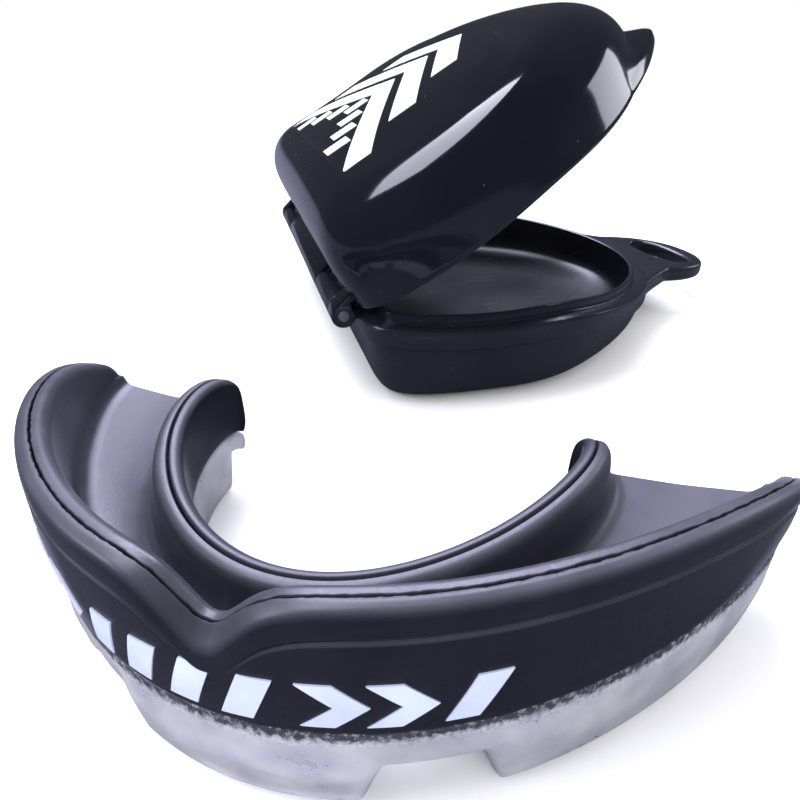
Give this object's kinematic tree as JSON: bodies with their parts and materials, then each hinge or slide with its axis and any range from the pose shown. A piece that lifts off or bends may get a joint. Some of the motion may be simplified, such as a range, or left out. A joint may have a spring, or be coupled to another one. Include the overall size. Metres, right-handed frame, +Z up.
{
  "type": "mouthguard with case",
  "caption": "U-shaped mouthguard on a translucent padded bite frame, beside its hinged D-shaped storage case with a key-ring loop and a finger-tab lid.",
  "frame": {"origin": "on the floor plane under the middle of the case base, at the centre of the foot mount", "axes": "+X towards the case's front and key-ring loop, +Y along the hinge away from the mouthguard, +Z up"},
  "size_m": [0.0999, 0.1203, 0.0483],
  "materials": {
    "shell_black": "satin",
    "liner_black": "satin",
    "frame_clear": "frosted translucent",
    "case_black": "semi-gloss",
    "lid_gloss_black": "gloss",
    "pin_black": "satin"
  },
  "bodies": {
    "base": {"case_base": "case_black", "case_hinge_pin": "pin_black"},
    "lid": {"case_lid": "lid_gloss_black"},
    "mouthguard": {"mouthguard_outer_shell": "shell_black", "mouthguard_gel_liner": "liner_black", "mouthguard_bite_frame": "frame_clear"}
  },
  "joints": [
    {"name": "lid_hinge", "type": "hinge", "parent": "base", "child": "lid", "pos_m": [-0.02905, 0, 0.01137], "axis": [0, -1, 0], "range_deg": [-34, 96], "stiffness_Nm_per_rad": 0.15},
    {"name": "mouthguard_lift", "type": "slide", "parent": "base", "child": "mouthguard", "axis": [0, 0, 1], "range_m": [0, 0.015]}
  ]
}
